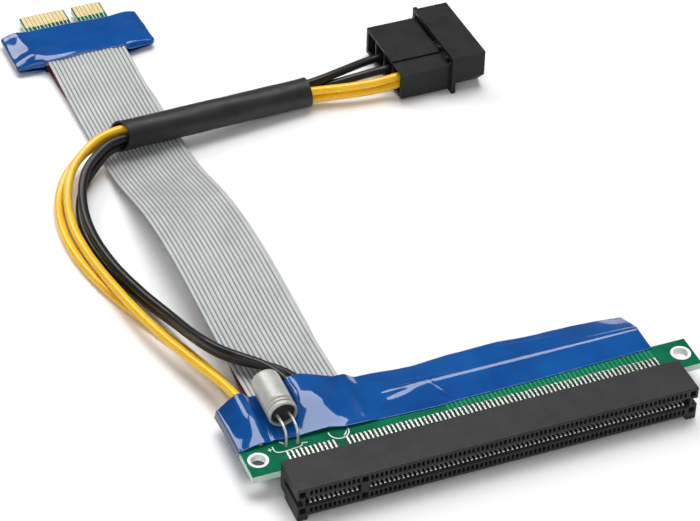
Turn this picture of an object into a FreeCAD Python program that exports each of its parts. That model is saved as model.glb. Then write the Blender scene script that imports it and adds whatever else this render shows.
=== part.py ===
import FreeCAD, Part
import math
import os

# Ribbon riser: a sixteen-lane female card slot on a small board, two flat
# ribbons to a one-lane card edge, and a four-way power lead with its plug.
# Frame: +Z up, the table at z = 0, +X along the slot, +Y from the slot's
# mating face towards the card edge. Origin: centre of the slot board
# assembly's footprint. All sizes are in millimetres.

V = FreeCAD.Vector

# Shared thicknesses and clearances
board_thickness = 1.6
tape_thickness = 0.2
layer_gap = 0.05
joint_gap = 0.3

# Slot housing
contact_pitch = 1.0
first_block_contacts = 11
second_block_contacts = 71
key_gap = 3.0
end_margin = 3.0
housing_depth = 9.5
housing_thickness = 7.1
foot_height = 1.2
foot_width = 2.2
foot_length = 7.2
card_gap = 1.8
mouth_gap = 2.5
mouth_chamfer_depth = 0.6
card_slot_depth = 7.2
slot_end_wall = 0.5
key_width = 1.75
cavity_width = 0.6
cavity_outer = 2.95
cavity_lip = 1.75
cavity_lip_depth = 0.7
end_pocket_width = 1.35
end_pocket_inset = 0.45
end_pocket_height = 1.5
end_pocket_depth = 4.0
end_groove_depth = 1.2
end_groove_height = 1.7
edge_round = 0.25

# Contacts
contact_width = 0.42
contact_metal = 0.3
contact_tip_setback = 0.5
contact_reach = 0.4
tail_length = 4.6

# Slot board
ear_length = 6.0
ear_depth = 8.4
right_ear_step = 8.0
board_depth = 14.9
hole_radius = 1.6
hole_from_end = 2.8
hole_from_front = 4.4
ring_radius = 2.2
plating = 0.05

# Tape on the slot board
tape_front_from_board = 8.2
tape_flap = 7.1
tape_inset_right = 8.0

# Capacitor
can_radius = 3.15
can_length = 11.5
can_wall = 0.3
can_groove_from_rim = 1.9
can_groove_depth = 0.3
can_groove_width = 0.7
can_rim_roll = 0.35
can_edge_round = 0.6
bung_depth = 2.6
bung_recess = 0.35
can_offset = -39.8
can_overhang = 0.5
lead_pitch = 2.5
lead_radius = 0.28
lead_hole_gap = 1.9
lead_bend = 2.3
solder_radius = 0.75
solder_height = 0.5

# Ribbons
conductor_count = 20
conductor_pitch = 1.0
ribbon_thickness = 0.7
cable_offset = -33.0
cable_yaw = 1.5
joint_length = 1.6
joint_width = 0.45
joint_height = 0.35
ribbon_start = 6.5
ribbon_finish = 156.5

# Card edge at the far end of the ribbons
finger_pitch = 1.0
wide_tongue = 11.65
key_notch = 1.9
narrow_tongue = 7.65
tongue_length = 8.7
tongue_chamfer = 0.4
card_width = 33.0
card_depth = 11.6
card_front = 153.0
wide_fingers = 11
narrow_fingers = 7
finger_width = 0.7
finger_length = 5.4
finger_setback = 0.3
finger_thickness = 0.05
card_tape_width = 35.4
card_tape_length = 13.6
card_tape_front = 151.4
card_tape_round = 1.5

# Power wires and their sleeve
wire_radius = 1.05
sleeve_radius = 3.7
sleeve_wall = 0.6
sleeve_lay_radius = 1.85
sleeve_left = V(-41.0, 111.5, 6.35)
sleeve_right = V(8.0, 116.8, 3.85)
wire_joint_length = 1.2
wire_joint_height = 1.2
wire_joint_radius = 0.75

# Power plug
pin_pitch = 5.08
plug_ways = 4
plug_x = 29.75
plug_y = 121.0
plug_yaw = 1.15
rear_length = 12.9
rear_bottom = 0.9
rear_height = 7.2
rear_width = 21.8
low_strip = 6.0
low_strip_drop = 0.5
cell_width = 4.4
cell_height = 5.4
cell_depth = 8.0
flange_thickness = 1.0
flange_width = 24.3
flange_height = 10.3
shroud_length = 7.9
shroud_width = 23.2
shroud_height = 9.9
shroud_bottom = 0.2
shroud_wall = 0.9
shroud_chamfer = 3.1
shroud_floor = 0.9
pin_radius = 1.05
pin_bore_gap = 0.03
pin_height = 4.6
pin_recess = 1.5
pin_tip = 0.8
barrel_start = 3.2
barrel_length = 4.2
barrel_radius = 1.4
entry_sag = 0.7

# Derived heights and places
contact_count = first_block_contacts + second_block_contacts
row_length = (contact_count - 2) * contact_pitch + key_gap
housing_length = row_length + 2 * end_margin
slot_axis_z = foot_height + housing_thickness / 2
board_top = slot_axis_z + board_thickness / 2
board_bottom = slot_axis_z - board_thickness / 2
slot_top = foot_height + housing_thickness
assembly_depth = housing_depth + board_depth + tape_flap + can_overhang
face_y = -assembly_depth / 2
back_y = face_y + housing_depth
board_left = -(housing_length / 2 + ear_length)
board_right = -board_left
board_back = back_y + board_depth
tape_front = back_y + tape_front_from_board
tape_back = board_back + tape_flap
can_rear = tape_back + can_overhang
can_front = can_rear - can_length
lead_hole_y = tape_front - lead_hole_gap
ribbon_width = conductor_count * conductor_pitch
can_axis_z = board_top + 2 * layer_gap + ribbon_thickness + tape_thickness + layer_gap + can_radius

card_bottom = tape_thickness + 2 * layer_gap + ribbon_thickness
card_top = card_bottom + board_thickness
card_tape_height = card_top + ribbon_thickness + 2 * layer_gap + tape_thickness
tongue_span = wide_tongue + key_notch + narrow_tongue
card_back = card_front + card_depth
upper_on_board = board_top + layer_gap + ribbon_thickness / 2
lower_on_board = board_bottom - layer_gap - ribbon_thickness / 2
upper_on_card = card_top + layer_gap + ribbon_thickness / 2
lower_on_card = card_bottom - layer_gap - ribbon_thickness / 2
wire_on_board = board_top + 3 * layer_gap + wire_radius
wire_under_board = board_bottom - layer_gap - wire_radius

# Routes of the two ribbons: distance along the cable's line, and height
upper_route = [
    (ribbon_start, upper_on_board), (19.0, upper_on_board), (33.0, 6.2), (48.0, 6.3),
    (62.0, 5.8), (76.0, 4.4), (90.0, 2.6), (103.0, 1.34), (117.0, 1.2), (131.0, 1.24),
    (142.0, 1.7), (149.5, upper_on_card), (ribbon_finish, upper_on_card)]
lower_route = [
    (ribbon_start, lower_on_board), (18.0, lower_on_board), (31.0, 4.4), (46.0, 5.2),
    (60.0, 4.8), (75.0, 3.4), (89.0, 1.6), (102.0, 0.48), (116.0, 0.4), (131.0, 0.42),
    (143.0, 0.5), (150.0, lower_on_card), (ribbon_finish, lower_on_card)]

# Routes of the power wires, from the solder joint to the sleeve, and from
# the sleeve to the plug
black_inner_start = [
    V(-32.8, 3.4, wire_on_board), V(-33.4, 8.2, 7.85), V(-34.3, 12.8, 8.1), V(-35.6, 17.2, 8.6),
    V(-38.3, 21.0, 9.4), V(-42.0, 24.2, 9.8), V(-45.0, 27.6, 9.75), V(-47.0, 32.0, 9.15),
    V(-48.5, 38.9, 7.1), V(-49.8, 46.8, 5.3), V(-52.5, 57.0, 3.9), V(-55.3, 68.6, 3.3),
    V(-56.6, 78.4, 3.3), V(-56.6, 87.6, 3.6), V(-55.0, 96.0, 4.5), V(-52.4, 102.0, 5.6),
    V(-48.4, 106.0, 6.6)]
black_outer_start = [
    V(-30.5, 3.4, wire_on_board), V(-31.1, 8.6, 7.8), V(-32.0, 13.6, 7.8), V(-33.7, 18.2, 7.75),
    V(-37.0, 21.9, 7.75), V(-41.0, 24.8, 7.75), V(-44.1, 28.0, 7.6), V(-46.3, 32.4, 6.95),
    V(-47.7, 39.5, 4.8), V(-49.2, 47.2, 3.0), V(-52.3, 57.2, 1.6), V(-55.3, 67.4, 1.1),
    V(-57.0, 77.2, 1.1), V(-57.5, 86.6, 1.1), V(-56.0, 95.0, 1.45), V(-53.0, 101.3, 2.3),
    V(-48.6, 106.0, 3.5)]
yellow_inner_start = [
    V(-45.6, 3.4, wire_on_board), V(-45.5, 9.2, 6.75), V(-45.4, 14.8, 6.6), V(-46.6, 21.2, 6.1),
    V(-49.0, 28.6, 5.4), V(-51.8, 37.2, 4.8), V(-54.3, 46.0, 4.2), V(-56.6, 56.6, 3.7),
    V(-58.4, 67.6, 3.05), V(-59.5, 77.4, 2.3), V(-59.8, 87.0, 2.2), V(-58.6, 95.8, 2.9),
    V(-55.6, 103.8, 4.7), V(-49.9, 109.3, 6.6)]
yellow_outer_start = [
    V(-46.4, 3.4, wire_under_board), V(-46.2, 9.0, 2.7), V(-45.0, 14.6, 2.3), V(-44.3, 20.4, 1.9),
    V(-45.0, 27.0, 1.5), V(-47.1, 34.4, 1.1), V(-50.0, 42.2, 1.1), V(-53.6, 51.0, 1.1),
    V(-57.4, 60.4, 1.1), V(-60.2, 69.6, 1.1), V(-61.8, 78.8, 1.1), V(-62.0, 88.0, 1.1),
    V(-60.5, 97.2, 1.4), V(-56.9, 104.6, 3.0), V(-50.2, 110.4, 4.7)]
left_angles = {"yellow_inner": 60.0, "yellow_outer": 330.0, "black_outer": 240.0, "black_inner": 150.0}
sleeve_stations = 5
sleeve_overrun = 0.04
sleeve_twist = 180.0


# General helpers
def export(name, shape):
    shape.exportStep(os.path.join("parts", name + ".step"))


def box(x0, x1, y0, y1, z0, z1):
    return Part.makeBox(x1 - x0, y1 - y0, z1 - z0, V(x0, y0, z0))


def prism(points, direction):
    outline = Part.makePolygon(points + [points[0]])
    return Part.Face(outline).extrude(direction)


def yz_prism(outline, x0, width):
    return prism([V(x0, y, z) for y, z in outline], V(width, 0, 0))


def xy_prism(outline, z0, height):
    return prism([V(x, y, z0) for x, y in outline], V(0, 0, height))


def cylinder(radius, start, direction, length):
    return Part.makeCylinder(radius, length, start, direction)


def revolve(outline, origin, axis):
    """Turn a (radius, distance along the axis) outline into a solid."""
    points = [V(r, 0, d) for r, d in outline]
    solid = Part.Face(Part.makePolygon(points + [points[0]])).revolve(V(0, 0, 0), V(0, 0, 1), 360)
    solid.Placement = FreeCAD.Placement(origin, FreeCAD.Rotation(V(0, 0, 1), axis))
    return solid


def rounded_route(points):
    """Straight runs joined by tangent arcs, each arc as large as its two runs allow."""
    edges = []
    radii = []
    here = points[0]
    for before, corner, after in zip(points, points[1:], points[2:]):
        back = (before - corner).normalize()
        ahead = (after - corner).normalize()
        turn = math.pi - back.getAngle(ahead)
        shorter = min((before - corner).Length, (after - corner).Length)
        setback = 0.45 * shorter
        radius = setback / math.tan(turn / 2)
        inner = (back + ahead).normalize()
        middle = corner + inner * (radius / math.cos(turn / 2) - radius)
        enter = corner + back * setback
        leave = corner + ahead * setback
        edges.append(Part.LineSegment(here, enter).toShape())
        edges.append(Part.Arc(enter, middle, leave).toShape())
        radii.append(radius)
        here = leave
    edges.append(Part.LineSegment(here, points[-1]).toShape())
    return Part.Wire(edges), radii


def sweep(name, points, outline, area):
    path, radii = rounded_route(points)
    solid = path.makePipe(Part.Face(outline))
    print("%s: length %.1f, smallest radius %.1f, volume over section times length %.4f"
          % (name, path.Length, min(radii), solid.Volume / (area * path.Length)))
    return solid


def tube(name, points, radius):
    """A wire as a plain six-sided tube, its corners on the wire's round surface."""
    along = (points[1] - points[0]).normalize()
    side = along.cross(V(0, 0, 1)).normalize()
    if abs(along.z) > 0.9:
        side = V(1, 0, 0)
    up = side.cross(along)
    turns = [math.radians(60 * index) for index in range(6)]
    corners = [points[0] + side * radius * math.cos(turn) + up * radius * math.sin(turn)
               for turn in turns]
    outline = Part.makePolygon(corners + [corners[0]])
    return sweep(name, points, outline, 1.5 * math.sqrt(3) * radius ** 2)


def on_cable(shape):
    """Move a shape from the cable's own frame, along its line, to the part's frame."""
    shape.rotate(V(0, 0, 0), V(0, 0, 1), cable_yaw)
    shape.translate(V(cable_offset, 0, 0))
    return shape


def on_plug(shape):
    """Move a shape from the plug's own frame to the part's frame."""
    shape.rotate(V(0, 0, 0), V(0, 0, 1), plug_yaw)
    shape.translate(V(plug_x, plug_y, 0))
    return shape


def plug_point(x, y, z):
    turn = math.radians(plug_yaw)
    return V(plug_x + x * math.cos(turn) - y * math.sin(turn),
             plug_y + x * math.sin(turn) + y * math.cos(turn), z)


# Slot housing and its contacts
def contact_places():
    first = -row_length / 2
    for index in range(contact_count):
        skip = key_gap - contact_pitch if index >= first_block_contacts else 0.0
        yield first + index * contact_pitch + skip


def key_centre():
    last_short = -row_length / 2 + (first_block_contacts - 1) * contact_pitch
    return last_short + key_gap / 2


def card_slot(x0, x1):
    """The straight slot for a card, with the lead-in at its mouth."""
    deep = face_y + card_slot_depth
    inner = card_gap / 2
    outer = mouth_gap / 2
    outline = [(face_y, -outer), (face_y + mouth_chamfer_depth, -inner), (deep, -inner),
               (deep, inner), (face_y + mouth_chamfer_depth, inner), (face_y, outer)]
    return yz_prism([(y, slot_axis_z + z) for y, z in outline], x0, x1 - x0)


def cavity(x, side):
    """One contact cavity: a window in the mating face, open to the slot behind its lip
    and open at the back for the contact's tail."""
    lip_back = face_y + cavity_lip_depth
    seat = board_thickness / 2
    outline = [(face_y, cavity_lip), (lip_back, cavity_lip), (lip_back, seat), (back_y, seat),
               (back_y, cavity_outer), (face_y, cavity_outer)]
    return yz_prism([(y, slot_axis_z + side * z) for y, z in outline], x - cavity_width / 2, cavity_width)


def end_pocket(x0, side):
    low = cavity_outer - end_pocket_height
    z0 = slot_axis_z + min(side * low, side * cavity_outer)
    return box(x0, x0 + end_pocket_width, face_y, face_y + end_pocket_depth, z0, z0 + end_pocket_height)


def end_groove(side):
    depth = end_groove_depth
    outer = side * housing_length / 2
    x0, x1 = min(outer, outer - side * depth), max(outer, outer - side * depth)
    half = end_groove_height / 2
    return box(x0, x1, face_y, face_y + card_slot_depth, slot_axis_z - half, slot_axis_z + half)


def slot_housing():
    half = housing_length / 2
    body = box(-half, half, face_y, back_y, foot_height, slot_top)
    rounds = [edge for edge in body.Edges
              if abs(edge.CenterOfMass.z - slot_top) < 1e-6 and abs(edge.CenterOfMass.y) > 1e-6
              and edge.Length > housing_depth + 1]
    body = body.makeFillet(edge_round, rounds)
    feet = [box(x, x + foot_width, face_y, face_y + foot_length, 0, foot_height)
            for x in (-half, half - foot_width)]
    body = body.multiFuse(feet)
    key = key_centre()
    wall = end_groove_depth + slot_end_wall
    cutters = [card_slot(-half + wall, key - key_width / 2), card_slot(key + key_width / 2, half - wall)]
    for side in (-1, 1):
        cutters.append(end_groove(side))
        cutters.append(end_pocket(-half + end_pocket_inset, side))
        cutters.append(end_pocket(half - end_pocket_inset - end_pocket_width, side))
        cutters.append(end_pocket(key - end_pocket_width / 2, side))
        for x in contact_places():
            cutters.append(cavity(x, side))
    return body.cut(cutters).removeSplitter()


def contact(x, side):
    """A spring contact: solder tail on the board, and a beam that leans into the slot."""
    seat = board_thickness / 2
    top = seat + contact_metal
    bend = face_y + card_slot_depth
    tip_y = face_y + contact_tip_setback
    tip = card_gap / 2 - contact_reach
    outline = [(back_y + tail_length, seat), (back_y + tail_length, top), (bend, top),
               (tip_y, tip + contact_metal), (tip_y, tip), (bend, seat)]
    return yz_prism([(y, slot_axis_z + side * z) for y, z in outline], x - contact_width / 2, contact_width)


def contact_row(side):
    return Part.makeCompound([contact(x, side) for x in contact_places()])


# Slot board
def hole_places():
    hole_y = back_y + hole_from_front
    return [(board_left + hole_from_end, hole_y), (board_right - hole_from_end, hole_y)]


def slot_board():
    step_x = board_right - right_ear_step
    ear_back = back_y + ear_depth
    outline = [(board_left, back_y), (board_right, back_y), (board_right, ear_back),
               (step_x, ear_back), (step_x, board_back), (board_left, board_back)]
    board = xy_prism(outline, board_bottom, board_thickness)
    holes = [cylinder(hole_radius + plating, V(x, y, board_bottom), V(0, 0, 1), board_thickness)
             for x, y in hole_places()]
    return board.cut(holes)


def plated_holes():
    """Metal lining of each mounting hole, with its ring on both faces of the board."""
    drilled = hole_radius + plating
    outline = [(hole_radius, -plating), (ring_radius, -plating), (drilled, 0),
               (drilled, board_thickness), (ring_radius, board_thickness + plating),
               (hole_radius, board_thickness + plating)]
    return Part.makeCompound([revolve(outline, V(x, y, board_bottom), V(0, 0, 1))
                              for x, y in hole_places()])


# Tape on the slot board: two strips, over and under, pressed together behind the board
tape_right = board_right - tape_inset_right
ribbon_top_z = board_top + 2 * layer_gap + ribbon_thickness
ribbon_low_z = board_bottom - 2 * layer_gap - ribbon_thickness
flat_top = board_top + layer_gap
flat_low = board_bottom - layer_gap
tape_steps = [tape_front, tape_front + 2.3, board_back, board_back + 3.5, tape_back]

top_tape_stations = [
    (board_left, [flat_top, flat_top, flat_top, 5.2, 4.6]),
    (-47.8, [flat_top, flat_top, flat_top, 5.4, 4.9]),
    (-46.75, [7.4, 8.05, 8.0, 7.8, 7.55]),
    (-44.4, [7.4, 8.05, 8.0, 7.8, 7.55]),
    (-43.3, [6.1, ribbon_top_z, ribbon_top_z, ribbon_top_z, ribbon_top_z]),
    (-37.4, [6.1, ribbon_top_z, ribbon_top_z, ribbon_top_z, ribbon_top_z]),
    (-36.7, [6.6, 7.6, 8.0, 8.1, 8.2]),
    (-36.0, [7.2, 8.2, 9.1, 9.3, 9.45]),
    (-30.3, [7.2, 8.2, 9.1, 9.3, 9.45]),
    (-29.2, [6.5, 7.4, 7.9, 7.9, 7.8]),
    (-27.5, [6.2, 6.6, 6.7, 6.7, 6.6]),
    (-22.0, [6.1, ribbon_top_z, ribbon_top_z, ribbon_top_z, ribbon_top_z]),
    (-20.4, [flat_top, flat_top, flat_top, 5.2, 4.7]),
    (-4.0, [flat_top, flat_top, flat_top, 5.0, 4.0]),
    (14.0, [flat_top, flat_top, flat_top, 5.3, 4.7]),
    (30.0, [flat_top, flat_top, flat_top, 4.9, 3.8]),
    (tape_right, [flat_top, flat_top, flat_top, 4.5, 3.0])]

low_tape_stations = [
    (board_left, [flat_low, flat_low, flat_low, 4.6, 4.3]),
    (-48.9, [flat_low, flat_low, flat_low, 3.8, 3.6]),
    (-48.1, [1.6, 1.6, 1.5, 1.35, 1.2]),
    (-43.4, [1.6, 1.6, 1.5, 1.35, 1.2]),
    (-42.4, [ribbon_low_z, ribbon_low_z, ribbon_low_z, ribbon_low_z, ribbon_low_z]),
    (-22.0, [ribbon_low_z, ribbon_low_z, ribbon_low_z, ribbon_low_z, ribbon_low_z]),
    (-20.4, [flat_low, flat_low, flat_low, 4.6, 4.4]),
    (-4.0, [flat_low, flat_low, flat_low, 4.75, 3.9]),
    (14.0, [flat_low, flat_low, flat_low, 5.05, 4.6]),
    (30.0, [flat_low, flat_low, flat_low, 4.65, 3.7]),
    (tape_right, [flat_low, flat_low, flat_low, 4.25, 2.9])]


def tape_strip(stations, thickness):
    """A thin strip with ruled folds: one cross-section for each place along the board."""
    sections = []
    for x, heights in stations:
        near = [V(x, y, z) for y, z in zip(tape_steps, heights)]
        far = [point + V(0, 0, thickness) for point in reversed(near)]
        sections.append(Part.makePolygon(near + far + [near[0]]))
    return Part.makeLoft(sections, True, True)


# Capacitor lying on the tape, with its two leads bent down to the board
def capacitor_can():
    r = can_radius
    groove = can_groove_from_rim
    half = can_groove_width / 2
    neck = r - can_groove_depth
    inner = r - can_wall
    outline = [(0, can_length), (r - can_edge_round, can_length), (r, can_length - can_edge_round),
               (r, groove + half), (neck, groove + half / 2), (neck, groove - half / 2),
               (r, groove - half), (r, can_rim_roll), (r - can_rim_roll, 0),
               (r - can_wall - can_rim_roll, 0), (inner - can_groove_depth, can_rim_roll),
               (inner - can_groove_depth, bung_depth), (0, bung_depth)]
    return revolve(outline, V(can_offset, can_front, can_axis_z), V(0, 1, 0))


def capacitor_bung():
    radius = can_radius - can_wall - can_groove_depth
    start = V(can_offset, can_front + bung_recess, can_axis_z)
    return cylinder(radius, start, V(0, 1, 0), bung_depth - bung_recess)


def capacitor_leads():
    """Two leads, straight out of the bung and bent down to their holes in the board."""
    leads = []
    for side in (-1, 1):
        x = can_offset + side * lead_pitch / 2
        points = [V(x, can_front + bung_recess, can_axis_z), V(x, lead_hole_y + lead_bend, can_axis_z),
                  V(x, lead_hole_y, can_axis_z - lead_bend), V(x, lead_hole_y, board_top)]
        leads.append(tube("capacitor lead", points, lead_radius))
    return Part.makeCompound(leads)


def capacitor_solder():
    """Beads under the board where the two leads come through."""
    low = board_bottom - solder_height
    beads = [Part.makeCone(lead_radius + 0.1, solder_radius, solder_height,
                           V(can_offset + side * lead_pitch / 2, lead_hole_y, low))
             for side in (-1, 1)]
    return Part.makeCompound(beads)


# Ribbons and their solder joints
def ribbon(name, route):
    points = [V(0, distance, height) for distance, height in route]
    half = ribbon_width / 2
    thick = ribbon_thickness / 2
    start = points[0]
    corners = [start + V(-half, 0, -thick), start + V(half, 0, -thick),
               start + V(half, 0, thick), start + V(-half, 0, thick)]
    section = Part.makePolygon(corners + [corners[0]])
    return on_cable(sweep(name, points, section, ribbon_width * ribbon_thickness))


def ribbon_joints(face_z, side, start, direction):
    """Stripped conductor ends, each in its bead of solder on a pad."""
    joints = []
    for index in range(conductor_count):
        centre = (index + 0.5) * conductor_pitch - ribbon_width / 2
        half = joint_width / 2
        low, high = face_z, face_z + side * joint_height
        outline = [V(centre - half, start, low), V(centre + half, start, low),
                   V(centre + half * 0.6, start, high), V(centre - half * 0.6, start, high)]
        joints.append(prism(outline, V(0, direction * joint_length, 0)))
    return on_cable(Part.makeCompound(joints))


# Card edge
def tongue(x0, width):
    c = tongue_chamfer
    far = card_back + tongue_length
    outline = [(x0, card_back), (x0 + width, card_back), (x0 + width, far - c), (x0 + width - c, far),
               (x0 + c, far), (x0, far - c)]
    return xy_prism(outline, card_bottom, board_thickness)


def edge_card():
    body = box(-card_width / 2, card_width / 2, card_front, card_back, card_bottom, card_top)
    left = -tongue_span / 2
    right = left + wide_tongue + key_notch
    card = body.multiFuse([tongue(left, wide_tongue), tongue(right, narrow_tongue)]).removeSplitter()
    return on_cable(card)


def finger_places():
    left = -tongue_span / 2
    right = left + wide_tongue + key_notch
    wide_first = left + (wide_tongue - (wide_fingers - 1) * finger_pitch) / 2
    narrow_first = right + (narrow_tongue - (narrow_fingers - 1) * finger_pitch) / 2
    places = [wide_first + index * finger_pitch for index in range(wide_fingers)]
    return places + [narrow_first + index * finger_pitch for index in range(narrow_fingers)]


def gold_fingers(z0):
    far = card_back + tongue_length - finger_setback
    half = finger_width / 2
    pads = [box(x - half, x + half, far - finger_length, far, z0, z0 + finger_thickness)
            for x in finger_places()]
    return on_cable(Part.makeCompound(pads))


def card_tape():
    """One strip wrapped round the card: a flat sleeve, open towards both ends of the cable."""
    def wrap(half_width, low, high, corner):
        blank = box(-half_width, half_width, card_tape_front, card_tape_front + card_tape_length, low, high)
        edges = [edge for edge in blank.Edges if abs(edge.BoundBox.YLength - card_tape_length) < 1e-6]
        return blank.makeFillet(corner, edges)
    t = tape_thickness
    outer = wrap(card_tape_width / 2, 0, card_tape_height, card_tape_round)
    inner = wrap(card_tape_width / 2 - t, t, card_tape_height - t, card_tape_round - t)
    return on_cable(outer.cut(inner))


# Sleeve over the four wires, which lie in it as a gently twisted bundle
def sleeve_point(fraction, angle):
    axis = (sleeve_right - sleeve_left).normalize()
    far_side = V(0, 0, 1).cross(axis).normalize()
    up = axis.cross(far_side)
    turn = math.radians(angle)
    centre = sleeve_left + (sleeve_right - sleeve_left) * fraction
    return centre + (far_side * math.cos(turn) + up * math.sin(turn)) * sleeve_lay_radius


def through_sleeve(wire):
    """Stations along the bundle, the first and last of them just outside the sleeve."""
    steps = [index / (sleeve_stations - 1) for index in range(sleeve_stations)]
    return [sleeve_point(step * (1 + 2 * sleeve_overrun) - sleeve_overrun,
                         left_angles[wire] + sleeve_twist * step) for step in steps]


def wire_sleeve():
    axis = sleeve_right - sleeve_left
    outer = cylinder(sleeve_radius, sleeve_left, axis, axis.Length)
    inner = cylinder(sleeve_radius - sleeve_wall, sleeve_left, axis, axis.Length)
    return outer.cut(inner)


def cell_centre(way):
    return (way - (plug_ways - 1) / 2) * pin_pitch


def wire_ends():
    """The last points of each wire: towards its cell, then into the crimp barrel."""
    barrel = barrel_start - joint_gap
    pair = wire_radius + layer_gap
    low = pin_height - pair
    high = pin_height + pair
    yellow, near_ground, far_ground = cell_centre(0), cell_centre(1), cell_centre(2)
    return {
        "yellow_inner": [V(19.0, 114.1, 2.4), plug_point(-2.0, yellow, low - entry_sag),
                         plug_point(barrel, yellow, low)],
        "yellow_outer": [V(19.0, 114.0, 4.6), plug_point(-2.0, yellow, high - entry_sag),
                         plug_point(barrel, yellow, high)],
        "black_inner": [V(18.8, 118.6, 3.6), plug_point(-2.0, near_ground, pin_height),
                        plug_point(barrel, near_ground, pin_height)],
        "black_outer": [V(18.4, 120.4, 5.2), plug_point(-2.0, far_ground, pin_height),
                        plug_point(barrel, far_ground, pin_height)]}


wire_starts = {"yellow_inner": yellow_inner_start, "yellow_outer": yellow_outer_start,
               "black_outer": black_outer_start, "black_inner": black_inner_start}


def wire_route(wire):
    return wire_starts[wire] + through_sleeve(wire) + wire_ends()[wire]


def wire_joints():
    """Tinned wire ends, soldered to the board just in front of each wire."""
    joints = []
    for wire in wire_starts:
        end = wire_starts[wire][0]
        side = 1 if end.z > slot_axis_z else -1
        face = board_top if side > 0 else board_bottom
        top = wire_joint_radius * 0.5
        outline = [(-wire_joint_radius, 0), (wire_joint_radius, 0), (top, side * wire_joint_height),
                   (-top, side * wire_joint_height)]
        points = [V(end.x + x, end.y - joint_gap, face + z) for x, z in outline]
        joints.append(prism(points, V(0, -wire_joint_length, 0)))
    return Part.makeCompound(joints)


# Power plug, in its own frame: x towards the mating end, y across, z up
def d_outline(width, bottom, top, chamfer):
    half = width / 2
    return [(-half, top), (-half, bottom + chamfer), (-half + chamfer, bottom), (half - chamfer, bottom),
            (half, bottom + chamfer), (half, top)]


def plug_housing():
    half = rear_width / 2
    rear_top = rear_bottom + rear_height
    rear = box(0, rear_length, -half, half, rear_bottom, rear_top)
    rear = rear.cut(box(0, rear_length, -half, -half + low_strip, rear_top - low_strip_drop, rear_top))
    flange = box(rear_length, rear_length + flange_thickness, -flange_width / 2, flange_width / 2,
                 0, flange_height)
    shroud_start = rear_length + flange_thickness
    mouth = shroud_start + shroud_length
    shroud_top = shroud_bottom + shroud_height
    shroud = yz_prism(d_outline(shroud_width, shroud_bottom, shroud_top, shroud_chamfer),
                      shroud_start, shroud_length)
    body = rear.multiFuse([flange, shroud])
    inside = d_outline(shroud_width - 2 * shroud_wall, shroud_bottom + shroud_wall,
                       shroud_top - shroud_wall, shroud_chamfer)
    floor = rear_length + shroud_floor - flange_thickness
    cutters = [yz_prism(inside, floor, mouth - floor)]
    cell_low = pin_height - cell_height / 2
    for way in range(plug_ways):
        y = cell_centre(way)
        cutters.append(box(0, cell_depth, y - cell_width / 2, y + cell_width / 2,
                           cell_low, cell_low + cell_height))
        cutters.append(cylinder(pin_radius + pin_bore_gap, V(cell_depth, y, pin_height), V(1, 0, 0),
                                floor - cell_depth))
    return on_plug(body.cut(cutters).removeSplitter())


def plug_pin(way, paired):
    """A turned pin with a crimp barrel; the barrel that takes two wires is twice as tall."""
    y = cell_centre(way)
    mouth = rear_length + flange_thickness + shroud_length
    tip = mouth - pin_recess
    shaft_start = barrel_start + barrel_length
    shaft = [(0, tip), (pin_radius - pin_tip * 0.8, tip), (pin_radius, tip - pin_tip),
             (pin_radius, shaft_start), (0, shaft_start)]
    pin = revolve(shaft, V(0, y, pin_height), V(1, 0, 0))
    tall = 2 * wire_radius if paired else barrel_radius
    barrel = box(barrel_start, shaft_start, y - barrel_radius, y + barrel_radius,
                 pin_height - tall, pin_height + tall)
    return on_plug(pin.fuse(barrel))


def build():
    os.makedirs("parts", exist_ok=True)
    export("slot_housing", slot_housing())
    export("slot_contacts_upper", contact_row(1))
    export("slot_contacts_lower", contact_row(-1))
    export("slot_board", slot_board())
    export("plated_holes", plated_holes())
    export("slot_tape_top", tape_strip(top_tape_stations, tape_thickness))
    export("slot_tape_bottom", tape_strip(low_tape_stations, -tape_thickness))
    export("capacitor_can", capacitor_can())
    export("capacitor_bung", capacitor_bung())
    export("capacitor_leads", capacitor_leads())
    export("capacitor_solder", capacitor_solder())
    export("upper_ribbon", ribbon("upper ribbon", upper_route))
    export("lower_ribbon", ribbon("lower ribbon", lower_route))
    export("slot_ribbon_joints_top", ribbon_joints(board_top, 1, ribbon_start, -1))
    export("slot_ribbon_joints_bottom", ribbon_joints(board_bottom, -1, ribbon_start, -1))
    export("card_ribbon_joints_top", ribbon_joints(card_top, 1, ribbon_finish, 1))
    export("card_ribbon_joints_bottom", ribbon_joints(card_bottom, -1, ribbon_finish, 1))
    export("edge_card", edge_card())
    export("gold_fingers_top", gold_fingers(card_top))
    export("gold_fingers_bottom", gold_fingers(card_bottom - finger_thickness))
    export("edge_card_tape", card_tape())
    for wire in wire_starts:
        colour, place = wire.split("_")
        export("%s_wire_%s" % (colour, place), tube(wire, wire_route(wire), wire_radius))
    export("wire_joints", wire_joints())
    export("wire_sleeve", wire_sleeve())
    export("plug_housing", plug_housing())
    export("plug_pin_live", plug_pin(0, True))
    export("plug_pins_ground", Part.makeCompound([plug_pin(1, False), plug_pin(2, False)]))


build()
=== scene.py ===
import math
import random

import bmesh
import bpy
from mathutils import Matrix, Vector


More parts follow.
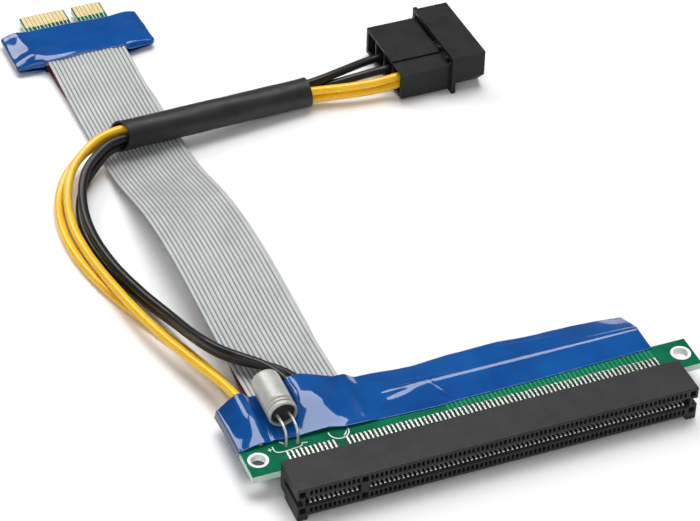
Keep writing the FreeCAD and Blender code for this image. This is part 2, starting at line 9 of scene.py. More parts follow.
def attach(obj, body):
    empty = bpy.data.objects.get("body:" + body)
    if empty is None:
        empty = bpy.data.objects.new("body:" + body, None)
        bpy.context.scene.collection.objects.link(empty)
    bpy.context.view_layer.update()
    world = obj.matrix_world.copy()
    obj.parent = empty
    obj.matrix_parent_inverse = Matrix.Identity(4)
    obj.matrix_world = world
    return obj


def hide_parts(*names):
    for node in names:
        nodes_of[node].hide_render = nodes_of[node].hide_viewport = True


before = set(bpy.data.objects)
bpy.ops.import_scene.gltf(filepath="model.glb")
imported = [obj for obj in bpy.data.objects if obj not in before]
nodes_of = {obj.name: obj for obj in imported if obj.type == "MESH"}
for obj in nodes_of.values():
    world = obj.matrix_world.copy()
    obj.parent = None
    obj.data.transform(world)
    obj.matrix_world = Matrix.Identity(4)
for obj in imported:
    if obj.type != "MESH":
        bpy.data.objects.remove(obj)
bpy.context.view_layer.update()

MM = 0.001
random.seed(11)

# Sizes and places repeated from the part's source, in millimetres
BOARD_TOP, BOARD_BOTTOM = 5.55, 3.95
CARD_TOP, CARD_BOTTOM = 2.6, 1.0
BOARD_LEFT, TAPE_RIGHT = -50.5, 42.5
TAPE_STEPS = (1.7, 4.0, 8.4, 11.9, 15.5)
TAPE_THICKNESS = 0.12
FIRST_CONTACT_X, CONTACTS, BEFORE_KEY, KEY_SHIFT = -41.5, 82, 11, 2.0
CARD_LEFT, WIDE_TONGUE, NOTCH = -10.6, 11.65, 1.9
TONGUES = ((CARD_LEFT, 11), (CARD_LEFT + WIDE_TONGUE + NOTCH, 7))
CONDUCTORS = 20
WIRE_RADIUS = 1.05
CABLE_AT, CABLE_YAW = (-33.0, 0.0), math.radians(1.5)
CAN_X, CAN_Z, CAN_FRONT, CAN_RADIUS = -39.8, 9.75, 4.5, 3.15
PLUG_AT, PLUG_YAW = (29.75, 121.0), math.radians(1.15)


# Helpers
def vec(x, y, z):
    return Vector((x, y, z))


def from_frame(at, yaw, x, y, z):
    """From a frame that stands at a point of the table and is turned by yaw."""
    c, s = math.cos(yaw), math.sin(yaw)
    return vec(at[0] + x * c - y * s, at[1] + x * s + y * c, z)


def on_cable(u, d, z):
    """From the cable's own frame: across, along and up."""
    return from_frame(CABLE_AT, CABLE_YAW, u, d, z)


def on_plug(x, y, z):
    """From the plug's own frame: along its pins, across its ways and up."""
    return from_frame(PLUG_AT, PLUG_YAW, x, y, z)


def clamp(t):
    return min(1.0, max(0.0, t))


def smooth_step(t):
    t = clamp(t)
    return t * t * (3 - 2 * t)


def mix(a, b, t):
    return a + (b - a) * t


def hump(distance, width):
    """1 where there is no distance, and nearly nothing at twice the width."""
    return math.exp(-(distance / width) ** 2)


def link(obj):
    bpy.context.scene.collection.objects.link(obj)
    return obj


def make_mesh(name, verts, faces, materials, smooth=True, face_material=None):
    """A mesh object from millimetre points."""
    mesh = bpy.data.meshes.new(name)
    mesh.from_pydata([tuple(c * MM for c in v) for v in verts], [], faces)
    for mat in materials:
        mesh.materials.append(mat)
    if face_material:
        mesh.polygons.foreach_set("material_index", face_material)
    mesh.polygons.foreach_set("use_smooth", [smooth] * len(mesh.polygons))
    mesh.validate()
    mesh.update()
    return link(bpy.data.objects.new(name, mesh))



def finish_piece(obj, replaces=()):
    """Says what the piece rides on and hides the solids it stands for."""
    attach(obj, "root")
    if replaces:
        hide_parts(*replaces)


def face_outwards(obj):
    bm = bmesh.new()
    bm.from_mesh(obj.data)
    bmesh.ops.recalc_face_normals(bm, faces=bm.faces)
    bm.to_mesh(obj.data)
    bm.free()
    return obj


def sharpen(obj, degrees):
    obj.data.set_sharp_from_angle(angle=math.radians(degrees))
    return obj


# Materials
class Paint:
    """A node material around one Principled shader."""

    def __init__(self, name, color, **constants):
        self.mat = bpy.data.materials.new(name + "_look")
        self.mat.use_nodes = True
        self.tree = self.mat.node_tree
        self.shader = self.tree.nodes["Principled BSDF"]
        self.shader.inputs["Base Color"].default_value = (*color, 1)
        self.mat.diffuse_color = (*color, 1)
        for key, value in constants.items():
            self.shader.inputs[key.replace("_", " ")].default_value = value
        self.height = None

    def node(self, kind, **values):
        made = self.tree.nodes.new(kind)
        for key, value in values.items():
            if key in made.inputs:
                made.inputs[key].default_value = value
            else:
                setattr(made, key, value)
        return made

    def wire(self, source, target):
        self.tree.links.new(source, target)

    def place(self):
        return self.node("ShaderNodeTexCoord").outputs["Object"]

    def noise(self, scale, detail=4.0, roughness=0.55, stretch=None):
        """Noise with features of about 1/scale metres, stretched along an axis if asked."""
        source = self.place()
        if stretch:
            mapping = self.node("ShaderNodeMapping")
            mapping.inputs["Scale"].default_value = stretch
            self.wire(source, mapping.inputs["Vector"])
            source = mapping.outputs["Vector"]
        made = self.node("ShaderNodeTexNoise", Scale=scale, Detail=detail, Roughness=roughness)
        self.wire(source, made.inputs["Vector"])
        return made.outputs["Fac"]

    def ramp(self, value, low, high, start=0.3, end=0.7):
        made = self.node("ShaderNodeMapRange")
        for name, number in (("From Min", start), ("From Max", end), ("To Min", low), ("To Max", high)):
            made.inputs[name].default_value = number
        self.wire(value, made.inputs["Value"])
        return made.outputs["Result"]

    def blend(self, factor, first, second):
        """From the first colour to the second, where each is a tuple or a socket."""
        made = self.node("ShaderNodeMix", data_type="RGBA")
        for value, name in ((first, "A"), (second, "B")):
            if isinstance(value, tuple):
                made.inputs[name].default_value = (*value, 1)
            else:
                self.wire(value, made.inputs[name])
        self.wire(factor, made.inputs["Factor"])
        return made.outputs["Result"]

    def tones(self, value, first, second):
        """Two tones, shared out by a noise value."""
        return self.blend(self.ramp(value, 0, 1), first, second)

    def facing(self, axis, start, end, both_ways=True):
        """0 to 1 while the face's normal along an axis, or its size, goes from start to end."""
        split = self.node("ShaderNodeSeparateXYZ")
        self.wire(self.node("ShaderNodeNewGeometry").outputs["True Normal"], split.inputs["Vector"])
        amount = split.outputs[axis]
        if both_ways:
            unsigned = self.node("ShaderNodeMath", operation="ABSOLUTE")
            self.wire(amount, unsigned.inputs[0])
            amount = unsigned.outputs["Value"]
        return self.ramp(amount, 0, 1, start, end)

    def color(self, socket):
        self.wire(socket, self.shader.inputs["Base Color"])

    def rough(self, value, low, high):
        self.wire(self.ramp(value, low, high), self.shader.inputs["Roughness"])

    def bump(self, value, depth):
        """Bump of the given depth in millimetres, on top of the ones before."""
        made = self.node("ShaderNodeBump")
        made.inputs["Distance"].default_value = depth * MM
        self.wire(value, made.inputs["Height"])
        if self.height:
            self.wire(self.height, made.inputs["Normal"])
        self.height = made.outputs["Normal"]
        self.wire(self.height, self.shader.inputs["Normal"])


def mottled(name, first, second, scale, rough, grain_scale, grain_depth, **constants):
    """Two close tones in soft patches, uneven roughness and a fine surface grain."""
    paint = Paint(name, first, **constants)
    paint.color(paint.tones(paint.noise(scale), first, second))
    paint.rough(paint.noise(scale * 3), *rough)
    paint.bump(paint.noise(grain_scale, 3.0), grain_depth)
    return paint.mat


# Mottled looks: name, two tones, patches per metre, roughness, grain per metre and its depth in millimetres
LOOKS = {
    "housing": ("housing_plastic", (0.020, 0.020, 0.0205), (0.028, 0.028, 0.0285), 180,
                (0.45, 0.6), 4200, 0.012, {"Specular_IOR_Level": 0.25}),
    "plug": ("plug_plastic", (0.010, 0.010, 0.0105), (0.017, 0.017, 0.0175), 220,
             (0.42, 0.58), 3600, 0.012, {"Specular_IOR_Level": 0.22}),
    "sleeve": ("sleeve", (0.013, 0.0125, 0.012), (0.023, 0.0225, 0.022), 240,
               (0.40, 0.56), 2400, 0.016, {"Specular_IOR_Level": 0.35}),
    "bung": ("rubber", (0.012, 0.011, 0.010), (0.030, 0.027, 0.024), 500,
             (0.5, 0.75), 3000, 0.02, {}),
    "yellow": ("yellow_insulation", (0.88, 0.46, 0.003), (0.97, 0.56, 0.006), 160,
               (0.24, 0.36), 1800, 0.008, {"Coat_Weight": 0.25, "Coat_Roughness": 0.12}),
    "black": ("black_insulation", (0.006, 0.0055, 0.0055), (0.012, 0.011, 0.011), 200,
              (0.30, 0.44), 1800, 0.008,
              {"Specular_IOR_Level": 0.3, "Coat_Weight": 0.15, "Coat_Roughness": 0.1}),
    "ribbon": ("ribbon_insulation", (0.47, 0.48, 0.485), (0.57, 0.58, 0.585), 120,
               (0.36, 0.5), 1500, 0.008, {"Coat_Weight": 0.12, "Coat_Roughness": 0.25}),
    # painted shade: the web is the conductors' own grey plastic, darkened to stand in for the shade in the
    # grooves between them
    "web_shade": ("ribbon_groove_shade", (0.12, 0.12, 0.125), (0.19, 0.19, 0.195), 300,
            (0.5, 0.7), 1500, 0.006, {}),
    "stripe": ("ribbon_stripe", (0.12, 0.012, 0.016), (0.20, 0.03, 0.03), 260,
               (0.36, 0.5), 1500, 0.008, {}),
    "tin": ("tinned_metal", (0.66, 0.65, 0.62), (0.80, 0.79, 0.76), 700,
            (0.2, 0.36), 2500, 0.004, {"Metallic": 0.9}),
    "lead": ("lead_wire", (0.70, 0.70, 0.68), (0.80, 0.80, 0.78), 500,
             (0.32, 0.42), 1500, 0.002, {"Metallic": 0.55}),
    "solder": ("solder", (0.60, 0.60, 0.59), (0.78, 0.78, 0.76), 900,
               (0.24, 0.42), 1600, 0.008, {"Metallic": 0.85}),
    "gold": ("gold_plating", (0.86, 0.66, 0.34), (0.93, 0.77, 0.46), 500,
             (0.34, 0.5), 2600, 0.01, {"Metallic": 0.55}),
    "silk": ("silkscreen", (0.72, 0.76, 0.74), (0.84, 0.86, 0.84), 900,
             (0.5, 0.7), 3000, 0.01, {}),
    "plate": ("plated_ring", (0.88, 0.88, 0.87), (0.96, 0.96, 0.95), 700,
              (0.3, 0.45), 2500, 0.01, {"Metallic": 0.1}),
    "trace": ("trace", (0.008, 0.245, 0.105), (0.014, 0.31, 0.14), 500,
              (0.3, 0.45), 2000, 0.01,
              {"Specular_IOR_Level": 0.2, "Coat_Weight": 0.2, "Coat_Roughness": 0.1}),
    # painted shade: dark strips laid where the board is shaded between pads and beside the card's traces
    "shade_strip": ("shade_strip", (0.004, 0.040, 0.022), (0.008, 0.060, 0.034), 500,
                   (0.35, 0.5), 2000, 0.01, {"Specular_IOR_Level": 0.2}),
}


def contact_paint(name, metallic, shaded_tips):
    """Stamped springs: bright faces with darker cut edges, and, if asked, painted shade on the tips, where
    the slot shades them.
    """
    paint = Paint(name, (0.5, 0.47, 0.4), Metallic=metallic)
    bright = paint.tones(paint.noise(800), (0.88, 0.86, 0.80), (0.96, 0.95, 0.92))
    color = paint.blend(paint.facing("X", 0.5, 0.75), bright, (0.16, 0.12, 0.08))
    # painted shade: inside the slot the contacts are darkened, as the slot shades them
    if shaded_tips:
        split = paint.node("ShaderNodeSeparateXYZ")
        paint.wire(paint.place(), split.inputs["Vector"])
        tail = paint.ramp(split.outputs["Y"], 0, 1, -8.5 * MM, -7.5 * MM)
        color = paint.blend(tail, (0.10, 0.085, 0.06), color)
    paint.color(color)
    paint.rough(paint.noise(2400), 0.2, 0.36)
    paint.bump(paint.noise(2600, 3.0), 0.006)
    return paint.mat


def can_paint():
    """Brushed pale metal under a thin satin lacquer."""
    paint = Paint("can", (0.50, 0.50, 0.47), Metallic=0.25, Specular_IOR_Level=0.5,
                  Coat_Weight=0.15, Coat_Roughness=0.3)
    paint.color(paint.tones(paint.noise(260), (0.44, 0.44, 0.41), (0.56, 0.56, 0.52)))
    lines = paint.noise(900, 6.0, 0.6, stretch=(6.0, 0.25, 6.0))
    paint.rough(lines, 0.34, 0.55)
    paint.bump(lines, 0.02)
    return paint.mat


def board_paint():
    """Green solder mask on both faces, and the pale cut edge of the laminate."""
    paint = Paint("board", (0.004, 0.16, 0.075), Specular_IOR_Level=0.03, Coat_Weight=0.5,
                  Coat_Roughness=0.05)
    mask = paint.tones(paint.noise(150), (0.001, 0.105, 0.048), (0.003, 0.175, 0.082))
    edge = paint.tones(paint.noise(1400, 3.0, 0.6, stretch=(1.0, 1.0, 5.0)),
                       (0.48, 0.66, 0.55), (0.66, 0.78, 0.68))
    paint.color(paint.blend(paint.facing("Z", 0.45, 0.6), edge, mask))
    paint.rough(paint.noise(600), 0.28, 0.45)
    paint.bump(paint.noise(2600, 2.0), 0.008)
    return paint.mat


def tape_paint():
    """Glossy blue film, a little uneven in tone, with fine stretch lines, and painted shade down its left
    side.
    """
    paint = Paint("blue_tape", (0.001, 0.068, 0.30), Specular_IOR_Level=0.05, Coat_Weight=1.0,
                  Coat_Roughness=0.04)
    film = paint.tones(paint.noise(90), (0.001, 0.056, 0.25), (0.003, 0.092, 0.35))
    # painted shade: faces turned to the left get a darker blue
    lit = paint.facing("X", -0.8, -0.5, both_ways=False)
    paint.color(paint.blend(lit, (0.001, 0.016, 0.085), film))
    paint.rough(paint.noise(320), 0.16, 0.28)
    paint.bump(paint.noise(110, 1.0), 0.045)
    paint.bump(paint.noise(700, 3.0, 0.6, stretch=(1.0, 0.4, 1.0)), 0.005)
    return paint.mat


MATS = {key: mottled(*look, **constants) for key, (*look, constants) in LOOKS.items()}
MATS["contact"] = contact_paint("contact_metal", 0.45, False)
MATS["contact_upper"] = contact_paint("upper_contact", 1.0, True)
MATS["can"] = can_paint()
MATS["board"] = board_paint()
MATS["tape"] = tape_paint()


# Power wires: one smooth line each, from the solder joint through the sleeve to the plug
SLEEVE_LEFT = vec(-41.0, 111.5, 6.35)
SLEEVE_RIGHT = vec(8.0, 116.8, 3.85)
SLEEVE_RADIUS, SLEEVE_WALL = 3.56, 0.5
LAY_RADIUS = 1.85
PAST_SLEEVE = 0.04
WIRE_STARTS = {
    "black_inner": [
        (-33.25, 7.3, 7.45), (-33.4, 8.2, 7.85), (-34.3, 12.8, 8.1), (-35.6, 17.2, 8.6),
        (-38.3, 21, 9.4), (-42, 24.2, 9.8), (-45, 27.6, 9.75), (-47, 32, 9.15),
        (-48.5, 38.9, 7.1), (-49.8, 46.8, 5.3), (-52.5, 57, 3.9), (-55.3, 68.6, 3.3),
        (-56.6, 78.4, 3.3), (-56.6, 87.6, 3.6), (-55, 96, 4.5), (-52.4, 102, 5.6),
        (-48.4, 106, 6.6)],
    "black_outer": [
        (-30.95, 7.5, 7.45), (-31.1, 8.6, 7.8), (-32.0, 13.6, 7.8), (-33.7, 18.2, 7.75),
        (-37, 21.9, 7.75), (-41, 24.8, 7.75), (-44.1, 28, 7.6), (-46.3, 32.4, 6.95),
        (-47.7, 39.5, 4.8), (-49.2, 47.2, 3), (-52.3, 57.2, 1.6), (-55.3, 67.4, 1.1),
        (-57, 77.2, 1.1), (-57.5, 86.6, 1.1), (-56, 95, 1.45), (-53, 101.3, 2.3),
        (-48.6, 106, 3.5)],
    "yellow_inner": [
        (-45.55, 7.2, 6.75), (-45.5, 9.2, 6.75), (-45.4, 14.8, 6.6), (-46.6, 21.2, 6.1),
        (-49, 28.6, 5.4), (-51.8, 37.2, 4.8), (-54.3, 46, 4.2), (-56.6, 56.6, 3.7),
        (-58.4, 67.6, 3.05), (-59.5, 77.4, 2.3), (-59.8, 87, 2.2), (-58.6, 95.8, 2.9),
        (-55.6, 103.8, 4.7), (-49.9, 109.3, 6.6)],
    "yellow_outer": [
        (-46.4, 3.4, 2.85), (-46.2, 9, 2.7), (-45, 14.6, 2.3), (-44.3, 20.4, 1.9),
        (-45, 27, 1.5), (-47.1, 34.4, 1.1), (-50, 42.2, 1.1), (-53.6, 51, 1.1),
        (-57.4, 60.4, 1.1), (-60.2, 69.6, 1.1), (-61.8, 78.8, 1.1), (-62, 88, 1.1),
        (-60.5, 97.2, 1.4), (-56.9, 104.6, 3), (-50.2, 110.4, 4.7)],
}
# Beyond the sleeve: a point of the route, the plug's way, and the heights at its entry and at its pin
PLUG_ENTRY, PLUG_PIN = -2.0, 2.9
WIRE_ENDS = {
    "yellow_inner": ((19.0, 114.1, 2.4), -7.62, 2.8, 3.5),
    "yellow_outer": ((19.0, 114.0, 4.6), -7.62, 5.0, 5.7),
    "black_inner": ((18.8, 118.6, 3.6), -2.54, 4.6, 4.6),
    "black_outer": ((18.4, 120.4, 5.2), 2.54, 4.6, 4.6),
}
# Where each wire lies round the sleeve's axis at the left end, in degrees
LAY_ANGLES = {"black_inner": 150, "black_outer": 240, "yellow_inner": 60, "yellow_outer": 330}


def sleeve_frame():
    """The sleeve's axis, and the two directions square to it: away from the slot, and up."""
    axis = (SLEEVE_RIGHT - SLEEVE_LEFT).normalized()
    far_side = vec(0, 0, 1).cross(axis).normalized()
    return axis, far_side, axis.cross(far_side)


def sleeve_point(fraction, angle):
    _, far_side, up = sleeve_frame()
    turn = math.radians(angle)
    centre = SLEEVE_LEFT + (SLEEVE_RIGHT - SLEEVE_LEFT) * fraction
    return centre + (far_side * math.cos(turn) + up * math.sin(turn)) * LAY_RADIUS


def wire_points(name):
    """A wire's route: in the sleeve it makes a half-turn about the others."""
    bundle = [sleeve_point(mix(-PAST_SLEEVE, 1 + PAST_SLEEVE, s), LAY_ANGLES[name] + 180 * s)
              for s in (0, 0.25, 0.5, 0.75, 1)]
    beyond, way, entry, pin = WIRE_ENDS[name]
    ends = [beyond, on_plug(PLUG_ENTRY, way, entry), on_plug(PLUG_PIN, way, pin)]
    return WIRE_STARTS[name] + bundle + ends


def smooth_curve(name, points, radius=None, resolution=10):
    """A smooth order 3 line through the route; the spline's settings follow its points."""
    curve = bpy.data.curves.new(name, "CURVE")
    curve.dimensions = "3D"
    spline = curve.splines.new("NURBS")
    spline.points.add(len(points) - 1)
    for point, place in zip(spline.points, points):
        point.co = (*(c * MM for c in place), 1)
    spline.order_u = 3
    spline.use_endpoint_u = True
    curve.resolution_u = resolution
    spline.resolution_u = resolution
    if radius:
        curve.bevel_depth = radius * MM
        curve.bevel_resolution = 6
        curve.use_fill_caps = True
    return link(bpy.data.objects.new(name, curve))


def make_wires():
    for name in WIRE_STARTS:
        colour, place = name.split("_")
        points = wire_points(name)
        wire = smooth_curve(f"{colour}_lead_{place}", points, WIRE_RADIUS)
        wire.data.materials.append(MATS[colour])
        finish_piece(wire, [f"{colour}_wire_{place}"])


# Ribbons: twenty round conductors side by side, swept along the cable's line
UPPER_ROUTE = [
    (6.5, 5.95), (19, 5.95), (30, 5.95), (40, 6.6), (50, 7.6), (60, 8.3), (70, 8.2),
    (79, 7.3), (87, 5.6), (95, 3.4), (102, 1.9), (109, 1.3), (117, 1.2), (131, 1.6),
    (142, 2.3), (149.5, 3), (156.5, 3)]
LOWER_ROUTE = [
    (6.5, 3.55), (18, 3.55), (29, 4.5), (40, 5.4), (50, 6.5), (60, 7.25), (70, 7.15),
    (79, 6.25), (87, 4.6), (95, 2.5), (102, 1.05), (109, 0.5), (117, 0.4), (131, 0.55),
    (143, 0.65), (150, 0.6), (156.5, 0.6)]
# A conductor's upper side is an arc, in degrees, and a thin web joins it to the next
HALF_WIDTH, HALF_HEIGHT = 0.42, 0.34
ARC_FROM, ARC_TO, ARC_STEPS = 158, 22, 6
WEB_HALF_HEIGHT, WEB_EDGE = 0.09, 0.44
STRIPE_INSIDE = -9.05
# The lower ribbon slips aside between the boards: by how much, from where to where, and over what length
SLIP, SLIP_FROM, SLIP_TO, SLIP_OVER = 0.9, 20, 146, 16


def read_line(name, points, resolution):
    """Points along the route's own smooth line, in millimetres."""
    guide = smooth_curve(name, points, None, resolution)
    mesh = bpy.data.meshes.new_from_object(guide)
    line = [vert.co / MM for vert in mesh.vertices]
    bpy.data.objects.remove(guide)
    bpy.data.meshes.remove(mesh)
    return line


def ribbon_section():
    """Round conductors joined by a thin web, as points across and up."""
    upper = []
    for index in range(CONDUCTORS):
        centre = index + 0.5 - CONDUCTORS / 2
        upper.append((centre - WEB_EDGE, WEB_HALF_HEIGHT))
        for step in range(ARC_STEPS + 1):
            turn = math.radians(mix(ARC_FROM, ARC_TO, step / ARC_STEPS))
            upper.append((centre + HALF_WIDTH * math.cos(turn), HALF_HEIGHT * math.sin(turn)))
        upper.append((centre + WEB_EDGE, WEB_HALF_HEIGHT))
    return upper + [(u, -b) for u, b in reversed(upper)]


def slip(y):
    """How far the striped ribbon lies to the side of the other one."""
    return SLIP * smooth_step((y - SLIP_FROM) / SLIP_OVER) * smooth_step((SLIP_TO - y) / SLIP_OVER)


def make_ribbon(name, route, node, striped):
    line = read_line(name + "_guide", [on_cable(0, d, z) for d, z in route], 12)
    across = vec(math.cos(CABLE_YAW), math.sin(CABLE_YAW), 0)
    section = ribbon_section()
    count = len(section)
    verts, faces, kinds = [], [], []
    for index, place in enumerate(line):
        before, after = line[max(0, index - 1)], line[min(len(line) - 1, index + 1)]
        normal = across.cross((after - before).normalized()).normalized()
        aside = slip(place.y) if striped else 0.0
        verts += [place + across * (u + aside) + normal * b for u, b in section]
    for row in range(len(line) - 1):
        for k in range(count):
            n = (k + 1) % count
            faces.append((row * count + k, (row + 1) * count + k, (row + 1) * count + n, row * count + n))
            # the web faces down in the grooves get the painted groove shade
            web_shade = WEB_HALF_HEIGHT in (abs(section[k][1]), abs(section[n][1]))
            stripe = striped and max(section[k][0], section[n][0]) < STRIPE_INSIDE
            kinds.append(2 if stripe else 1 if web_shade else 0)
    faces.append(tuple(range(count)))
    faces.append(tuple(reversed(range((len(line) - 1) * count, len(line) * count))))
    kinds += [0, 0]
    ribbon = make_mesh(name, verts, faces, [MATS["ribbon"], MATS["web_shade"], MATS["stripe"]], True, kinds)
    face_outwards(ribbon)
    finish_piece(ribbon, [node])


# Sheets of tape. Each station holds x and the heights at the steps across the tape
TOP_TAPE = [
    (-50.5, (5.6, 5.6, 5.6, 5.3, 4.9)), (-44.2, (5.6, 5.6, 5.6, 5.5, 5.2)),
    (-42.6, (5.95, 6.35, 6.35, 6.35, 6.35)), (-22.8, (5.95, 6.15, 6.45, 6.38, 6.35)),
    (-19.6, (5.6, 5.6, 5.6, 5.2, 4.7)), (-4, (5.6, 5.6, 5.6, 5, 4)),
    (14, (5.6, 5.6, 5.6, 5.3, 4.7)), (30, (5.6, 5.6, 5.6, 4.9, 3.8)),
    (42.5, (5.6, 5.6, 5.6, 4.5, 3))]
# Over the yellow wire and over both black ones, from front to back: y, left and right edge of the raised
# part, its height, and how far the sheet takes to fall to each side
RIDGES = [
    [(1.2, -46.9, -44.9, 6.1, 3.6, 2), (7.6, -46.2, -44.8, 8.4, 4.1, 2.2),
     (15.6, -46.3, -44.9, 8.3, 4, 2.2)],
    [(1.2, -37, -27.8, 6.05, 1.5, 2.5), (4.5, -36, -29.2, 7.45, 2, 4),
     (7.6, -35.3, -30.4, 8.85, 2.2, 5.2), (9.4, -35.2, -30.9, 9.3, 2.2, 5.8),
     (12, -35.2, -31.4, 9.45, 2.2, 6.6), (15.6, -35.6, -32.2, 9.65, 2.4, 7.6)]]
LOW_TAPE = [
    (-50.5, (3.9, 3.9, 3.9, 4.6, 4.3)), (-48.9, (3.9, 3.9, 3.9, 3.8, 3.6)),
    (-48.1, (1.6, 1.6, 1.5, 1.35, 1.2)), (-43.4, (1.6, 1.6, 1.5, 1.35, 1.2)),
    (-42.4, (3.15,) * 5), (-22.0, (3.15,) * 5),
    (-20.4, (3.9, 3.9, 3.9, 4.6, 4.4)), (-4, (3.9, 3.9, 3.9, 4.75, 3.9)),
    (14, (3.9, 3.9, 3.9, 5.05, 4.6)), (30, (3.9, 3.9, 3.9, 4.65, 3.7)),
    (42.5, (3.9, 3.9, 3.9, 4.25, 2.9))]
TAPE_FRONT_EDGE = [
    (-50.5, 1.1), (-46, 1.5), (-42.6, 1.75), (-37.5, 1.2), (-31, 1.4), (-27.8, 0.6), (-21.8, 0.6),
    (-7, 0.1), (-2.6, 0.4), (16, 0.5), (42.5, 1.2)]
# Soft folds: start x, y, end x, y, width, height
FOLDS = [
    (-24, 14, -13, 8.2, 1.8, 0.16), (-17, 6.2, -6.5, 8.6, 1.1, 0.18),
    (-13, 9.8, 1, 8.9, 0.5, 0.14),
    (-6.9, 9.8, -3, 1.6, 0.25, 0.06), (2, 10.8, 16, 8.9, 0.5, 0.12),
    (10, 13.6, 26, 12.4, 0.9, 0.14), (20, 9.3, 41.5, 8.9, 0.45, 0.12)]
# How the ridges' outlines and corners are rounded, the long crease over the board's back edge, and where
# the loose flap behind the board begins
RIDGE_SPREAD, RIDGE_ROUNDING, RIDGE_BLEND = (-1.0, -0.5, 0.0, 0.5, 1.0), 0.7, 0.1
CREASE_Y, CREASE_WIDTH, CREASE_HEIGHT, CREASE_FROM_X = 8.3, 0.6, 0.19, -19
FLAP_FROM_X, FLAP_FROM_Y = -18, 8.8
LOW_TAPE_DROP = 0.04


def along_stations(stations, x):
    """Heights at x, smooth between the stations."""
    for (x0, low), (x1, high) in zip(stations, stations[1:]):
        if x <= x1:
            t = smooth_step((x - x0) / (x1 - x0))
            return [mix(a, b, t) for a, b in zip(low, high)]
    return list(stations[-1][1])


def straight_between(pairs, x):
    for (x0, a), (x1, b) in zip(pairs, pairs[1:]):
        if x <= x1:
            return mix(a, b, clamp((x - x0) / (x1 - x0)))
    return pairs[-1][1]


def through_steps(heights, y):
    """A smooth line through the heights across the tape, level in front of the first step."""
    steps, last = TAPE_STEPS, len(TAPE_STEPS) - 1
    if y <= steps[0]:
        return heights[0]
    slopes = []
    for k in range(last + 1):
        a, b = max(0, k - 1), min(last, k + 1)
        slopes.append((heights[b] - heights[a]) / (steps[b] - steps[a]))
    k = next((k for k in range(last) if y <= steps[k + 1]), last - 1)
    h = steps[k + 1] - steps[k]
    t = min(1.0, (y - steps[k]) / h)
    return ((2 * t ** 3 - 3 * t ** 2 + 1) * heights[k] + (t ** 3 - 2 * t ** 2 + t) * h * slopes[k]
            + (3 * t ** 2 - 2 * t ** 3) * heights[k + 1] + (t ** 3 - t ** 2) * h * slopes[k + 1])


def fold_height(x, y):
    total = 0.0
    for x0, y0, x1, y1, width, height in FOLDS:
        dx, dy = x1 - x0, y1 - y0
        t = clamp(((x - x0) * dx + (y - y0) * dy) / (dx * dx + dy * dy))
        off = math.hypot(x - x0 - t * dx, y - y0 - t * dy)
        total += height * math.sin(math.pi * min(0.98, max(0.02, t))) ** 0.5 * hump(off, width)
    return total


def smooth_max(values, softness):
    peak = max(values)
    return peak + softness * math.log(sum(math.exp((value - peak) / softness) for value in values))


def eased(distance):
    """The distance past an edge, rounded where it starts."""
    return (distance + math.hypot(distance, RIDGE_ROUNDING)) / 2


def across_ridge(ridge, y):
    """The ridge's edges, height and falls at y, with the corners between its stations rounded."""
    found = [0.0] * 5
    for step in RIDGE_SPREAD:
        for k in range(5):
            line = [(station[0], station[k + 1]) for station in ridge]
            found[k] += straight_between(line, y + step) / len(RIDGE_SPREAD)
    return found


def over_wires(x, y, base):
    """The sheet lies on the flat parts below and is drawn like a tent over the covered wires."""
    heights = [base]
    for ridge in RIDGES:
        left, right, crest, left_fall, right_fall = across_ridge(ridge, y)
        share = eased(left - x) / left_fall + eased(x - right) / right_fall
        heights.append(base + (crest - base) * max(-1.0, 1 - share))
    return smooth_max(heights, RIDGE_BLEND)


def sheet_mesh(name, rows):
    """A thin closed sheet of tape from a grid of points; its thickness goes up from the grid."""
    width, length = len(rows[0]), len(rows)
    flat = [p for row in rows for p in row]
    verts = flat + [p + vec(0, 0, TAPE_THICKNESS) for p in flat]
    over = width * length
    faces = []
    for r in range(length - 1):
        for c in range(width - 1):
            a, b, d, e = r * width + c, r * width + c + 1, (r + 1) * width + c + 1, (r + 1) * width + c
            faces.append((a, e, d, b))
            faces.append((over + a, over + b, over + d, over + e))
    rim = (list(range(width)) + [r * width + width - 1 for r in range(1, length)]
           + [(length - 1) * width + c for c in range(width - 2, -1, -1)]
           + [r * width for r in range(length - 2, 0, -1)])
    for a, b in zip(rim, rim[1:] + rim[:1]):
        faces.append((a, b, over + b, over + a))
    return face_outwards(make_mesh(name, verts, faces, [MATS["tape"]]))


def wavy(x, seed, size):
    """A slow wave along the tape, from a few fixed frequencies."""
    return size * (math.sin(x * 0.21 + seed) + 0.6 * math.sin(x * 0.47 + 2.1 * seed)
                   + 0.3 * math.sin(x * 1.1 + 3.7 * seed)) / 1.9


def flap_wave(x, y):
    """Waves of the loose flap behind the board, to the right of the ribbons."""
    return wavy(x, 1.3, 0.30) * (smooth_step((y - FLAP_FROM_Y) / 6.5) * smooth_step((x - FLAP_FROM_X) / 6))


def top_height(x, y):
    z = over_wires(x, y, through_steps(along_stations(TOP_TAPE, x), y))
    under_can = math.exp(-((x - CAN_X) / 2.2) ** 4)
    z += fold_height(x, y) * (1 - under_can)
    z += CREASE_HEIGHT * hump(y - CREASE_Y, CREASE_WIDTH) * smooth_step((x - CREASE_FROM_X) / 6)
    z += flap_wave(x, y)
    rolled = smooth_step((BOARD_LEFT + 0.02 - x) / 0.55)
    return z - mix(1.1, 1.9, smooth_step((y - 1.0) / 1.4)) * rolled


def top_point(along, across):
    x = mix(BOARD_LEFT - 0.5, TAPE_RIGHT, along ** 1.12)
    back = 15.5 + wavy(x, 0.4, 0.25) * smooth_step((x + 20) / 8)
    y = mix(straight_between(TAPE_FRONT_EDGE, x), back, across)
    return vec(x, y, top_height(x, y))


def low_point(along, across):
    x = mix(BOARD_LEFT, TAPE_RIGHT, along)
    y = mix(1.7 + wavy(x, 2.2, 0.3), 15.4, across)
    z = through_steps(along_stations(LOW_TAPE, x), y) + flap_wave(x, y) - LOW_TAPE_DROP
    return vec(x, y, z - TAPE_THICKNESS)


